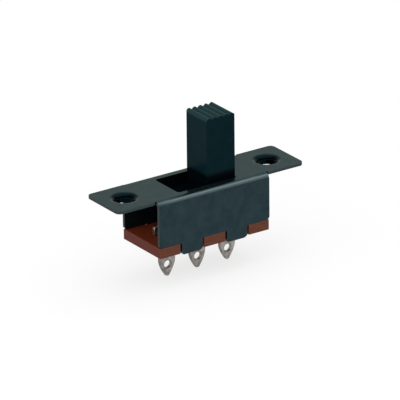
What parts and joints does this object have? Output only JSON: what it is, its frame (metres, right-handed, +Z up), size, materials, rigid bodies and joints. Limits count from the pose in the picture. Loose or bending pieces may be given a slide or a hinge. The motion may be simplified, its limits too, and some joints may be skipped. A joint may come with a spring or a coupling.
{
  "type": "slide switch",
  "caption": "Panel-mount slide switch: folded black steel frame with two tapped ears, tall ridged slider, phenolic terminal board and a row of solder lugs.",
  "frame": {"origin": "midway between the two mounting holes, on the ears' top face that seats against a panel", "axes": "+X along the slot towards the knob's rest position, +Z up along the knob, lugs pointing to -Z"},
  "size_m": [0.029, 0.0084, 0.0212],
  "materials": {
    "blackened_steel": "satin black",
    "black_moulding": "semi-gloss",
    "contact_strip": "bright strip",
    "phenolic_board": "punched laminate",
    "plated_terminal": "silver plated, satin"
  },
  "bodies": {
    "housing": {"frame": "blackened_steel", "terminal_board": "phenolic_board", "terminal_left": "plated_terminal", "terminal_common": "plated_terminal", "terminal_right": "plated_terminal"},
    "slide": {"slider": "black_moulding", "moving_contact": "contact_strip"}
  },
  "joints": [
    {"name": "slider_travel", "type": "slide", "parent": "housing", "child": "slide", "axis": [1, 0, 0], "range_m": [-0.0047, 0]}
  ]
}
